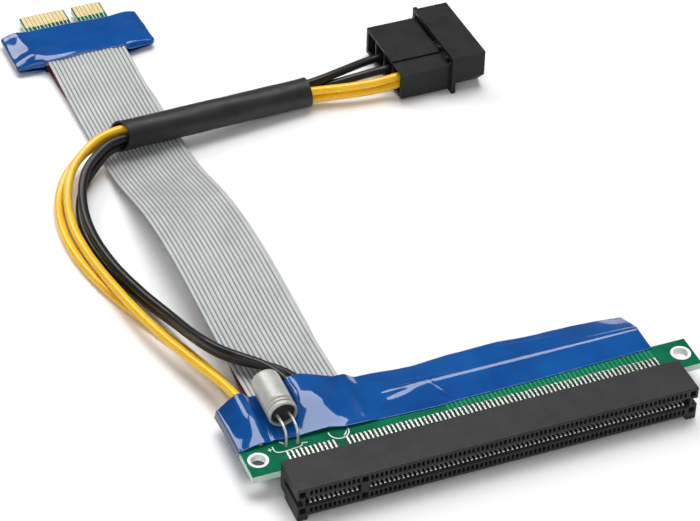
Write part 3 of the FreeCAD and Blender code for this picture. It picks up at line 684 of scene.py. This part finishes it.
def make_tape(name, node, columns, lines, point):
    """A sheet whose points follow from their shares of its length and width."""
    rows = [[point(c / columns, r / lines) for c in range(columns + 1)] for r in range(lines + 1)]
    finish_piece(sheet_mesh(name, rows), [node])


def joined_rings(last, count):
    """Faces that join rings of count points, up to the ring that starts at last."""
    for start in range(0, last, count):
        for k in range(count):
            n = (k + 1) % count
            yield start + k, start + n, start + count + n, start + count + k


def double_wall(name, outer, inner, count, material):
    """A closed tube from an outer and an inner wall, each of rings with count points."""
    over = len(outer)
    last = over - count
    faces = []
    for a, b, c, d in joined_rings(last, count):
        faces.append((a, b, c, d))
        faces.append((over + a, over + d, over + c, over + b))
    for k in range(count):
        n = (k + 1) % count
        faces.append((k, over + k, over + n, n))
        a, b = last + k, last + n
        faces.append((a, b, over + b, over + a))
    return face_outwards(make_mesh(name, outer + inner, faces, [material]))


# The strip round the card: where it lies along the cable, its film, and the share that is rounded shut. Its
# half widths at the cable's and at the card's side, and how much is missing where it is rounded shut
WRAP_FROM, WRAP_TO, WRAP_FILM, WRAP_NOSE = 151.4, 165.0, 0.11, 0.09
WRAP_LEFT, WRAP_RIGHT = (17.5, 17.5, 0.54), (18.3, 17.8, 1.35)
WRAP_RINGS, WRAP_HALF_LOOP = 60, 84
RIBBON_SIDE = 10.35


def wrap_creases(s, u, far):
    """Ripples and three creases on the strip's upper side."""
    return (0.10 * math.sin(u * 0.52 + 1.1 + s * 2.4)
            + 0.26 * hump(s - 0.36 - 0.012 * u, 0.08) * smooth_step((10 - u) / 8)
            - 0.24 * hump(s - 0.54 - 0.010 * u, 0.10) * (1 - far)
            + 0.20 * hump(s - 0.74 + 0.010 * u, 0.09) * smooth_step((u + 6) / 9))


def wrap_ring(s):
    """One loop of the card's tape, at a share s of its length, from its cable side to its card side."""
    nose = max(0.0, 1 - s / WRAP_NOSE) ** 2
    closed = 1 - math.sqrt(1 - nose)
    ring = []
    for k in range(2 * WRAP_HALF_LOOP):
        turn = math.pi * k / WRAP_HALF_LOOP
        c, sn = math.cos(turn), math.sin(turn)
        at_cable, at_card, missing = WRAP_LEFT if c < 0 else WRAP_RIGHT
        reach = mix(at_cable, at_card, s) - missing * nose
        start = mix(11.6, 13.2, s) if c < 0 else 11.2
        u = reach * math.copysign(abs(c) ** 0.30, c)
        # thick over the ribbons and the card, thin at the two ends, and pressed shut at the nose
        far = smooth_step((abs(u) - start) / (reach - start))
        outside = smooth_step((abs(u) - RIBBON_SIDE) / 0.6)
        shut = closed * outside
        crown = 3.5 + 0.35 * smooth_step(s / 0.16) * smooth_step((6 - u) / 8) + 0.12 * math.sin(math.pi * s)
        top = mix(mix(crown, 2.85, far), 1.85, 0.9 * shut)
        low = mix(mix(0.05, 0.78, far), 1.25, 0.8 * shut)
        z = (top + low) / 2 + (top - low) / 2 * math.copysign(abs(sn) ** 0.42, sn)
        skew = smooth_step((abs(u) - 10.4) / 5.5) * mix(0.4, 1.2, s)
        if sn > 0:
            z += wrap_creases(s, u, far) * math.sin(math.pi * min(1, s * 1.15)) ** 0.8 * (1 - shut)
            jag = 0.12 * math.sin(u * 6.28) + 0.12 * math.sin(u * 2.1 + 0.7)
            skew += (0.28 * math.sin(u * 0.33 + 0.6) + jag * (1 - outside)) * (1 - s) ** 3
        ring.append(on_cable(u, mix(WRAP_FROM, WRAP_TO, s) + skew, max(0.02, z)))
    return ring


def make_card_wrap():
    """The strip round the card: pressed shut beside the ribbons, open where they and the card come out."""
    rings = [wrap_ring(i / WRAP_RINGS) for i in range(WRAP_RINGS + 1)]
    count = len(rings[0])
    along = on_cable(0, 1, 0) - on_cable(0, 0, 0)
    inner = []
    for ring in rings:
        centre = sum(ring, vec(0, 0, 0)) / count
        for k, p in enumerate(ring):
            tangent = (ring[(k + 1) % count] - ring[k - 1]).normalized()
            inward = tangent.cross(along).normalized()
            if inward.dot(centre - p) < 0:
                inward = -inward
            inner.append(p + inward * WRAP_FILM)
    outer = [p for ring in rings for p in ring]
    wrap = double_wall("card_wrap", outer, inner, count, MATS["tape"])
    finish_piece(wrap, ["edge_card_tape"])


# Sleeve over the wires
def make_sleeve():
    """A shrunk tube: lobes where the wires press out, small dents, and flared ends cut at a slant."""
    axis, far_side, up = sleeve_frame()
    length = (SLEEVE_RIGHT - SLEEVE_LEFT).length
    rings, count = 90, 64
    outer, inner = [], []
    for i in range(rings + 1):
        s = i / rings
        here = SLEEVE_LEFT + axis * (length * s)
        flare = 0.10 * (math.exp(-s * 40) + math.exp(-(1 - s) * 40))
        for k in range(count):
            turn = 2 * math.pi * k / count
            lobes = 0.05 * math.cos(4 * (turn - math.pi * s) + 0.4) * math.sin(math.pi * s)
            dents = 0.03 * math.sin(s * 11 + 2 * turn) + 0.015 * math.sin(s * 37 + 3 * turn)
            radius = SLEEVE_RADIUS + flare + lobes + dents
            side = far_side * math.cos(turn) + up * math.sin(turn)
            shift = axis * (math.cos(turn - 2.2) * (1.3 * (1 - s) ** 12 - 0.35 * s ** 12))
            outer.append(here + side * radius + shift)
            inner.append(here + side * (radius - SLEEVE_WALL) + shift)
    sleeve = double_wall("heat_sleeve", outer, inner, count, MATS["sleeve"])
    finish_piece(sharpen(sleeve, 50), ["wire_sleeve"])


# Capacitor. The can's outline, as steps out from its radius with their distance from the open end: the flat
# back and its edge, the wall, and two grooves and the rim
CAN_OUTLINE = [
    (-0.95, 11.5), (-0.75, 11.5), (-0.45, 11.42), (-0.2, 11.24), (-0.06, 10.98), (0, 10.6)]
CAN_OUTLINE += [(0, 10.6 - k * 0.75) for k in range(1, 11)]
CAN_OUTLINE += [
    (-0.02, 2.72), (-0.12, 2.52), (-0.42, 2.36), (-0.46, 2.2), (-0.2, 2.05), (0, 1.95), (0.04, 1.7),
    (-0.04, 1.5), (-0.34, 1.38), (-0.38, 1.22), (-0.12, 1.08), (0.02, 0.98), (0.05, 0.66), (0, 0.36),
    (-0.12, 0.1), (-0.3, 0.0), (-0.48, 0.08), (-0.56, 0.3), (-0.58, 0.6), (-0.58, 2.4)]
BUNG_OUTLINE = [(0.9, 0.42), (1.5, 0.36), (2.1, 0.38), (2.38, 0.5), (2.5, 0.75), (2.5, 2.3)]
LEAD_RADIUS, LEAD_OFFSET = 0.28, 1.25


def turned(name, profile, material, replaces, segments=96):
    """A turned piece on the can's axis from (radius, distance behind the can's open end) points."""
    verts, faces = [], []
    for radius, distance in profile:
        for k in range(segments):
            turn = 2 * math.pi * k / segments
            verts.append(vec(CAN_X + radius * math.cos(turn), CAN_FRONT + distance,
                             CAN_Z + radius * math.sin(turn)))
    last = (len(profile) - 1) * segments
    faces += joined_rings(last, segments)
    faces.append(tuple(range(segments)))
    faces.append(tuple(range(last, last + segments)))
    piece = face_outwards(make_mesh(name, verts, faces, [material]))
    finish_piece(sharpen(piece, 40), replaces)


def make_capacitor():
    outside = [(CAN_RADIUS + step, distance) for step, distance in CAN_OUTLINE]
    turned("capacitor_case", outside, MATS["can"], ["capacitor_can"])
    turned("capacitor_seal", BUNG_OUTLINE, MATS["bung"], ["capacitor_bung"], 64)
    for side, name in ((-1, "left"), (1, "right")):
        x = CAN_X + side * LEAD_OFFSET
        points = [vec(x, 5.2, CAN_Z), vec(x + side * 0.02, 4.0, CAN_Z + 0.05),
                  vec(x + 0.1, 2.0, CAN_Z + 0.05), vec(x + 0.16, 0.35, CAN_Z - 0.75),
                  vec(x + 0.1, -0.25, 8.0), vec(x + 0.04, -0.3, 6.6), vec(x, -0.2, 5.5)]
        lead = smooth_curve("capacitor_lead_" + name, points, LEAD_RADIUS)
        lead.data.bevel_resolution = 4
        lead.data.materials.append(MATS["lead"])
        finish_piece(lead, ["capacitor_leads"])


# Rigid pieces with worked edges: points this close in metres are one, faces this near to flat are one, and
# edges sharper than this are rounded
SAME_POINT, FLAT_WITHIN, SHARP_FROM = 2e-6, math.radians(0.6), math.radians(32)
# What lies on the boards starts a little inside them. Half widths, ends across the boards and first places
SUNK = 0.01
PAD_HALF, PAD_FRONT, BEAD_HALF, TRACES_FROM_X = 0.20, -6.45, 0.19, -6
FINGER_HALF, FINGER_BACK, FINGER_FRONT, FIRST_FINGER = 0.44, 168.3, 173.12, 0.825
ROUND_PART = (-29.4, 0.35)


def softened(name, node, width, material):
    """A copy of a CAD node with its sharp outer edges slightly rounded."""
    mesh = nodes_of[node].data.copy()
    mesh.name = name
    bm = bmesh.new()
    bm.from_mesh(mesh)
    bmesh.ops.remove_doubles(bm, verts=bm.verts, dist=SAME_POINT)
    bmesh.ops.dissolve_limit(bm, angle_limit=FLAT_WITHIN, verts=bm.verts, edges=bm.edges)
    weights = bm.edges.layers.float.new("bevel_weight_edge")
    for edge in bm.edges:
        if len(edge.link_faces) == 2 and edge.is_convex and edge.calc_face_angle() > SHARP_FROM:
            edge[weights] = 1.0
    bm.to_mesh(mesh)
    bm.free()
    mesh.materials.clear()
    mesh.materials.append(material)
    mesh.polygons.foreach_set("use_smooth", [False] * len(mesh.polygons))
    mesh.polygons.foreach_set("material_index", [0] * len(mesh.polygons))
    obj = link(bpy.data.objects.new(name, mesh))
    bevel = obj.modifiers.new("edges", "BEVEL")
    bevel.width = width * MM
    bevel.segments = 2
    bevel.limit_method = "WEIGHT"
    finish_piece(obj, [node])


class Forms:
    """Many small forms that make up one piece."""

    def __init__(self):
        self.verts, self.faces = [], []

    def add(self, verts, faces):
        base = len(self.verts)
        self.verts += verts
        self.faces += [tuple(base + k for k in face) for face in faces]

    def box(self, x0, x1, y0, y1, z0, z1):
        self.add([vec(x0, y0, z0), vec(x1, y0, z0), vec(x1, y1, z0), vec(x0, y1, z0),
                  vec(x0, y0, z1), vec(x1, y0, z1), vec(x1, y1, z1), vec(x0, y1, z1)],
                 [(0, 3, 2, 1), (4, 5, 6, 7), (0, 1, 5, 4), (1, 2, 6, 5), (2, 3, 7, 6), (3, 0, 4, 7)])

    def bead(self, x, y, z, half_x, half_y, height, side, around=10, rings=3):
        """A small rounded mound of solder on the upper side of a face, or on its lower side."""
        verts, faces = [], []
        for r in range(rings):
            rise = r / rings * 1.5
            for k in range(around):
                turn = 2 * math.pi * k / around
                verts.append(vec(x + half_x * math.cos(turn) * math.cos(rise),
                                 y + half_y * math.sin(turn) * math.cos(rise),
                                 z + side * height * math.sin(rise)))
        verts.append(vec(x, y, z + side * height))
        last = (rings - 1) * around
        faces += joined_rings(last, around)
        for k in range(around):
            faces.append((last + k, last + (k + 1) % around, last + around))
        faces.append(tuple(reversed(range(around))))
        self.add(verts, faces)

    def line(self, points, half_width, z, lift):
        """A flat printed line of the given half width along the points."""
        verts, faces = [], []
        for index, (x, y) in enumerate(points):
            x0, y0 = points[max(0, index - 1)]
            x1, y1 = points[min(len(points) - 1, index + 1)]
            length = math.hypot(x1 - x0, y1 - y0)
            nx, ny = -(y1 - y0) / length * half_width, (x1 - x0) / length * half_width
            verts += [vec(x + nx, y + ny, z), vec(x - nx, y - ny, z),
                      vec(x + nx, y + ny, z + lift), vec(x - nx, y - ny, z + lift)]
        last = 4 * (len(points) - 1)
        for a in range(0, last, 4):
            b = a + 4
            faces += [(a + 2, a + 3, b + 3, b + 2), (a, b, b + 1, a + 1), (a, a + 2, b + 2, b),
                      (a + 1, b + 1, b + 3, a + 3)]
        faces += [(0, 1, 3, 2), (last, last + 2, last + 3, last + 1)]
        self.add(verts, faces)

    def mesh(self, name, material, smooth=False):
        return make_mesh(name, self.verts, self.faces, [MATS[material]], smooth)


def layer(face, side, height):
    """The lower and upper height of a thin layer that starts just inside a board's face."""
    return sorted((face - side * SUNK, face + side * height))


def contact_places():
    """Along the slot: a contact every millimetre, with the key between two of them."""
    for index in range(CONTACTS):
        yield FIRST_CONTACT_X + index + (KEY_SHIFT if index >= BEFORE_KEY else 0.0)


def make_board_details():
    """Pads and solder for the contact tails, painted shade in the gaps between them, and the lines that run
    on from the pads.
    """
    pads, solder, gap_shades, traces = Forms(), Forms(), Forms(), Forms()
    for face, side in ((BOARD_TOP, 1), (BOARD_BOTTOM, -1)):
        for x in contact_places():
            back = random.uniform(-1.75, -1.45)
            pads.box(x - PAD_HALF, x + PAD_HALF, PAD_FRONT, back, *layer(face, side, 0.04))
            solder.bead(x, random.uniform(-2.15, -1.95), face, BEAD_HALF, random.uniform(0.4, 0.6),
                        random.uniform(0.26, 0.38), side)
            solder.bead(x, random.uniform(-4.6, -4.2), face, BEAD_HALF, 0.6, 0.32, side)
            # painted shade: a dark strip in the gap to the next pad
            gap_shades.box(x + 0.22, x + 0.78, PAD_FRONT, back - 0.1, *layer(face, side, 0.02))
            if x > TRACES_FROM_X:
                traces.box(x - 0.17, x + 0.17, back, 2.6, *layer(face, side, 0.03))
    finish_piece(pads.mesh("slot_pads", "tin"))
    finish_piece(solder.mesh("slot_solder", "solder", True))
    finish_piece(gap_shades.mesh("pad_gap_shades", "shade_strip"))
    finish_piece(traces.mesh("board_traces", "trace"))


def make_wire_joints():
    """Flattened solder beads at the wire ends, under the tape."""
    joints = Forms()
    for x, face, side in ((-32.8, BOARD_TOP, 1), (-30.5, BOARD_TOP, 1), (-45.6, BOARD_TOP, 1),
                          (-46.4, BOARD_BOTTOM, -1)):
        joints.bead(x, 3.0, face, 0.8, 1.2, 0.5, side, 18, 5)
    finish_piece(joints.mesh("wire_solder", "solder", True), ["wire_joints"])


def arc(cx, cy, radius, start, end, steps):
    turns = [math.radians(start + (end - start) * k / steps) for k in range(steps + 1)]
    return [(cx + radius * math.cos(turn), cy + radius * math.sin(turn)) for turn in turns]


def make_silkscreen():
    """Printed outlines of two parts and a plus sign, and the filled end of the round one."""
    silk = Forms()
    z, lift = BOARD_TOP - SUNK, 0.035
    bracket = [(-43.7, 0.6), (-43.75, -0.2), (-43.65, -0.8), (-43.4, -1.15), (-43.0, -1.35), (-42.4, -1.45),
               (-41.3, -1.45), (-38.9, -1.2), (-38.1, -1.1), (-37.75, -0.8), (-37.6, -0.3), (-36.5, -0.5)]
    plus = [(-44.95, -0.1), (-44.1, -0.1)], [(-44.5, -0.55), (-44.5, 0.4)]
    for points, half_width in ((bracket, 0.12), (plus[0], 0.10), (plus[1], 0.10),
                               ([(-41.9, 1.5), (-41.2, 0.75)], 0.12),
                               (arc(*ROUND_PART, 2.15, 172, 368, 26), 0.12)):
        silk.line(points, half_width, z, lift)
    fill = arc(*ROUND_PART, 1.7, 285, 352, 10)
    count = len(fill)
    sides = [(k, count + k, count + (k + 1) % count, (k + 1) % count) for k in range(count)]
    silk.add([vec(x, y, z + lift) for x, y in fill] + [vec(x, y, z) for x, y in fill],
             [tuple(range(count)), tuple(reversed(range(count, 2 * count)))] + sides)
    finish_piece(face_outwards(silk.mesh("board_print", "silk")))


def finger_places():
    """Across the card: a finger every millimetre on both tongues."""
    return [left + FIRST_FINGER + k for left, count in TONGUES for k in range(count)]


def cable_boxes(name, material, boxes, replaces=()):
    """One piece of many small flat boxes, given in the cable's own frame."""
    forms = Forms()
    for sizes in boxes:
        forms.box(*sizes)
    forms.verts = [on_cable(*v) for v in forms.verts]
    finish_piece(forms.mesh(name, material), replaces)


def make_fingers():
    """Gold fingers with the bright lines that run on from them, and painted shade lines beside these."""
    for side, face, node in ((1, CARD_TOP, "top"), (-1, CARD_BOTTOM, "bottom")):
        z0, z1 = sorted((face, face + side * 0.05))
        pads = [(u - FINGER_HALF, u + FINGER_HALF, FINGER_BACK, FINGER_FRONT, z0, z1)
                for u in finger_places()]
        cable_boxes("edge_fingers_" + node, "gold", pads, ["gold_fingers_" + node])
    bright, shade_lines = [], []
    for face, side in ((CARD_TOP, 1), (CARD_BOTTOM, -1)):
        for u in finger_places():
            z0, z1 = layer(face, side, 0.035)
            u += random.uniform(-0.12, 0.12)
            bright.append((u - 0.09, u + 0.09, random.uniform(164.2, 166.8), FINGER_BACK + 0.02, z0, z1))
            # painted shade: a dark line beside each bright one
            shade_lines.append((u + 0.2, u + 0.36, 164.0, random.uniform(167.1, 168.2), z0, z1))
    cable_boxes("edge_traces", "silk", bright)
    cable_boxes("edge_shades", "shade_strip", shade_lines)


def give(node, material):
    """A CAD node that keeps its shape gets its material."""
    data = nodes_of[node].data
    data.materials.clear()
    data.materials.append(material)


def make_rigid():
    for name, node, width, key, slot in (
            ("slot_body", "slot_housing", 0.07, "housing", "housing_plastic"),
            ("main_board", "slot_board", 0.06, "board", "board_laminate"),
            ("edge_board", "edge_card", 0.06, "board", "board_laminate"),
            ("plug_shell", "plug_housing", 0.06, "plug", "plug_plastic")):
        softened(name, node, width, MATS[key])
    for node, key in (("slot_contacts_upper", "contact_upper"), ("slot_contacts_lower", "contact"),
                      ("plated_holes", "plate"), ("capacitor_solder", "solder"),
                      ("slot_ribbon_joints_top", "solder"), ("slot_ribbon_joints_bottom", "solder"),
                      ("card_ribbon_joints_top", "solder"), ("card_ribbon_joints_bottom", "solder"),
                      ("plug_pin_live", "tin"), ("plug_pins_ground", "tin")):
        give(node, MATS[key])


# Studio: each light has its place from the middle of the object, in metres, its size and its power
LIGHTS = {
    "overhead": ((0.24, 0.33, 1.12), (0.80, 0.70), 11.5),
    "back_left": ((-0.28, 0.86, 0.82), (0.5, 0.5), 4.6),
    "front_fill": ((-0.7, -1.2, 0.9), (1.8, 1.2), 10.5),
    "right_side": ((1.2, -0.3, 0.6), (0.8, 0.8), 1.6),
}
MIDDLE = Vector((-0.005, 0.05, 0.0))
WORLD_STRENGTH = 0.10
CAMERA_AT = Vector((-0.17466, -0.35292, 0.35928))
CAMERA_AZIMUTH, CAMERA_ELEVATION, CAMERA_ROLL = (math.radians(a) for a in (22.56, 38.96, 1.58))
FLOOR_REACH = 4000


def make_floor():
    paint = Paint("floor", (0.94, 0.94, 0.94), Specular_IOR_Level=0.1)
    tone = paint.noise(3.0, 2.0)
    paint.color(paint.tones(tone, (0.955, 0.955, 0.955), (0.975, 0.975, 0.975)))
    paint.rough(tone, 0.55, 0.65)
    corners = [vec(x * FLOOR_REACH, y * FLOOR_REACH, 0) for x, y in ((-1, -1), (1, -1), (1, 1), (-1, 1))]
    make_mesh("floor", corners, [(0, 1, 2, 3)], [paint.mat], False)


def make_light():
    for name, (place, size, power) in LIGHTS.items():
        data = bpy.data.lights.new(name, "AREA")
        data.shape = "RECTANGLE"
        data.size, data.size_y = size
        data.energy = power
        lamp = link(bpy.data.objects.new(name, data))
        lamp.location = MIDDLE + Vector(place)
        lamp.rotation_euler = (-Vector(place)).to_track_quat("-Z", "Y").to_euler()
    world = bpy.data.worlds.new("studio")
    world.use_nodes = True
    background = world.node_tree.nodes["Background"]
    background.inputs["Color"].default_value = (1, 1, 1, 1)
    background.inputs["Strength"].default_value = WORLD_STRENGTH
    bpy.context.scene.world = world


def make_camera():
    sin_a, cos_a = math.sin(CAMERA_AZIMUTH), math.cos(CAMERA_AZIMUTH)
    flat = math.cos(CAMERA_ELEVATION)
    forward = Vector((sin_a * flat, cos_a * flat, -math.sin(CAMERA_ELEVATION)))
    level = Vector((cos_a, -sin_a, 0))
    right = level * math.cos(CAMERA_ROLL) + level.cross(forward) * math.sin(CAMERA_ROLL)
    columns = Matrix((right, right.cross(forward), -forward)).transposed()
    data = bpy.data.cameras.new("camera")
    data.lens = 130.9
    data.sensor_width = 36
    data.clip_start = 0.01
    data.clip_end = 30
    camera = link(bpy.data.objects.new("camera", data))
    camera.matrix_world = Matrix.Translation(CAMERA_AT) @ columns.to_4x4()
    bpy.context.scene.camera = camera
    bpy.context.scene.view_settings.view_transform = "Standard"


make_camera()
make_floor()
make_light()
make_rigid()
make_board_details()
make_wire_joints()
make_silkscreen()
make_fingers()
make_sleeve()
make_card_wrap()
make_tape("blue_tape_upper", "slot_tape_top", 460, 76, top_point)
make_tape("blue_tape_lower", "slot_tape_bottom", 240, 40, low_point)
make_capacitor()
make_wires()
make_ribbon("ribbon_upper", UPPER_ROUTE, "upper_ribbon", False)
make_ribbon("ribbon_lower", LOWER_ROUTE, "lower_ribbon", True)
